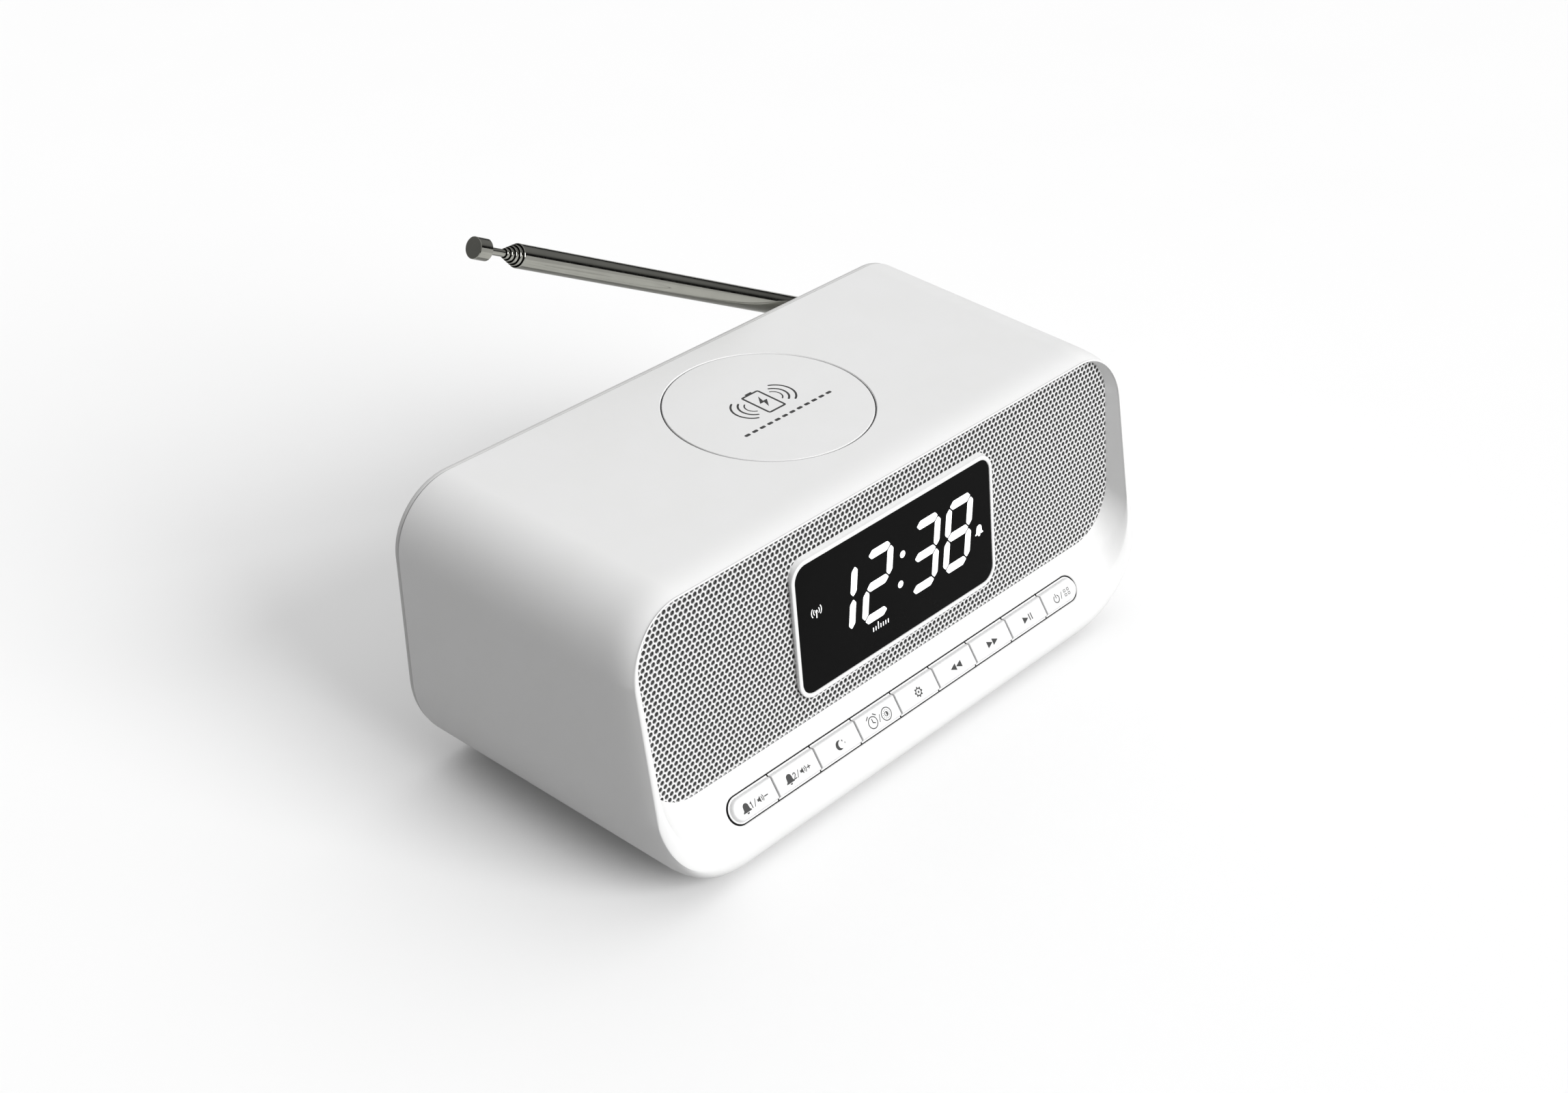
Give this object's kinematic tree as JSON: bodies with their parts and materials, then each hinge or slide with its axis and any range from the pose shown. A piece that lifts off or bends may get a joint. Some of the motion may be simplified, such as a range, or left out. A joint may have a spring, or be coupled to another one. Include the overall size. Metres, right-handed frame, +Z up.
{
  "type": "clock radio",
  "caption": "Clock radio in a rounded white housing with a black display window, perforated grille, row of keys, charging pad on top and telescopic antenna.",
  "frame": {"origin": "centre of the housing's flat underside, between the four feet", "axes": "+X to the right and +Y to the back as seen from the front, +Z up"},
  "size_m": [0.2, 0.1055, 0.1438],
  "materials": {
    "white_plastic": "satin moulded",
    "cover_plastic": "fine texture",
    "window_plastic": "smoked, polished",
    "dark_plastic": "moulded",
    "board": "solder mask",
    "paper_cone": "pressed paper",
    "magnet": "sintered",
    "copper_wire": "enamelled winding",
    "steel": "zinc plated",
    "dark_chrome": "dark polished",
    "rubber": "matte"
  },
  "bodies": {
    "root": {"front_shell": "white_plastic", "rear_cover": "cover_plastic", "speaker_grille": "white_plastic", "front_baffle": "dark_plastic", "display_bezel": "white_plastic", "display_window": "window_plastic", "display_module": "dark_plastic", "key_board": "board", "main_board": "board", "charging_pad": "white_plastic", "charging_coil": "copper_wire", "ferrite_plate": "dark_plastic", "dc_jack": "dark_plastic", "usb_port": "dark_plastic", "aux_jack": "dark_plastic", "switch_alarm_1": "dark_plastic", "switch_alarm_2": "dark_plastic", "switch_sleep": "dark_plastic", "switch_snooze": "dark_plastic", "switch_set": "dark_plastic", "switch_back": "dark_plastic", "switch_forward": "dark_plastic", "switch_play": "dark_plastic", "switch_power": "dark_plastic", "speaker_left_frame": "steel", "speaker_left_cone": "paper_cone", "speaker_left_magnet": "magnet", "speaker_right_frame": "steel", "speaker_right_cone": "paper_cone", "speaker_right_magnet": "magnet", "foot_front_left": "rubber", "foot_rear_left": "rubber", "foot_front_right": "rubber", "foot_rear_right": "rubber", "screw_low_left": "steel", "screw_high_left": "steel", "screw_low_right": "steel", "screw_high_right": "steel"},
    "key_alarm_1": {"key_alarm_1": "white_plastic"},
    "key_alarm_2": {"key_alarm_2": "white_plastic"},
    "key_sleep": {"key_sleep": "white_plastic"},
    "key_snooze": {"key_snooze": "white_plastic"},
    "key_set": {"key_set": "white_plastic"},
    "key_back": {"key_back": "white_plastic"},
    "key_forward": {"key_forward": "white_plastic"},
    "key_play": {"key_play": "white_plastic"},
    "key_power": {"key_power": "white_plastic"},
    "swivel": {"antenna_swivel": "dark_chrome", "antenna_pin": "steel"},
    "rod": {"antenna_knuckle": "dark_chrome", "antenna_section_1": "dark_chrome"},
    "section_2": {"antenna_section_2": "dark_chrome"},
    "section_3": {"antenna_section_3": "dark_chrome"},
    "section_4": {"antenna_section_4": "dark_chrome"},
    "section_5": {"antenna_section_5": "dark_chrome"},
    "section_6": {"antenna_section_6": "dark_chrome", "antenna_tip": "dark_chrome"}
  },
  "joints": [
    {"name": "press_alarm_1", "type": "slide", "parent": "root", "child": "key_alarm_1", "axis": [0, 0.8151, -0.5793], "range_m": [0, 0.0006], "stiffness_N_per_m": 700, "springref_m": -0.0004},
    {"name": "press_alarm_2", "type": "slide", "parent": "root", "child": "key_alarm_2", "axis": [0, 0.8151, -0.5793], "range_m": [0, 0.0006], "stiffness_N_per_m": 700, "springref_m": -0.0004},
    {"name": "press_sleep", "type": "slide", "parent": "root", "child": "key_sleep", "axis": [0, 0.8151, -0.5793], "range_m": [0, 0.0006], "stiffness_N_per_m": 700, "springref_m": -0.0004},
    {"name": "press_snooze", "type": "slide", "parent": "root", "child": "key_snooze", "axis": [0, 0.8151, -0.5793], "range_m": [0, 0.0006], "stiffness_N_per_m": 700, "springref_m": -0.0004},
    {"name": "press_set", "type": "slide", "parent": "root", "child": "key_set", "axis": [0, 0.8151, -0.5793], "range_m": [0, 0.0006], "stiffness_N_per_m": 700, "springref_m": -0.0004},
    {"name": "press_back", "type": "slide", "parent": "root", "child": "key_back", "axis": [0, 0.8151, -0.5793], "range_m": [0, 0.0006], "stiffness_N_per_m": 700, "springref_m": -0.0004},
    {"name": "press_forward", "type": "slide", "parent": "root", "child": "key_forward", "axis": [0, 0.8151, -0.5793], "range_m": [0, 0.0006], "stiffness_N_per_m": 700, "springref_m": -0.0004},
    {"name": "press_play", "type": "slide", "parent": "root", "child": "key_play", "axis": [0, 0.8151, -0.5793], "range_m": [0, 0.0006], "stiffness_N_per_m": 700, "springref_m": -0.0004},
    {"name": "press_power", "type": "slide", "parent": "root", "child": "key_power", "axis": [0, 0.8151, -0.5793], "range_m": [0, 0.0006], "stiffness_N_per_m": 700, "springref_m": -0.0004},
    {"name": "antenna_swivel_turn", "type": "hinge", "parent": "root", "child": "swivel", "pos_m": [0.082, 0.054, 0.0668], "axis": [0, 1, 0], "range_deg": [-26.9, 153.1]},
    {"name": "antenna_tilt", "type": "hinge", "parent": "swivel", "child": "rod", "pos_m": [0.082, 0.054, 0.0668], "axis": [-0.4524, 0, -0.8918], "range_deg": [0, 90]},
    {"name": "extend_section_2", "type": "slide", "parent": "rod", "child": "section_2", "axis": [-0.8918, 0, 0.4524], "range_m": [0, 0.115]},
    {"name": "extend_section_3", "type": "slide", "parent": "section_2", "child": "section_3", "axis": [-0.8918, 0, 0.4524], "range_m": [0, 0.115]},
    {"name": "extend_section_4", "type": "slide", "parent": "section_3", "child": "section_4", "axis": [-0.8918, 0, 0.4524], "range_m": [0, 0.115]},
    {"name": "extend_section_5", "type": "slide", "parent": "section_4", "child": "section_5", "axis": [-0.8918, 0, 0.4524], "range_m": [0, 0.115]},
    {"name": "extend_section_6", "type": "slide", "parent": "section_5", "child": "section_6", "axis": [-0.8918, 0, 0.4524], "range_m": [0, 0.115]}
  ]
}
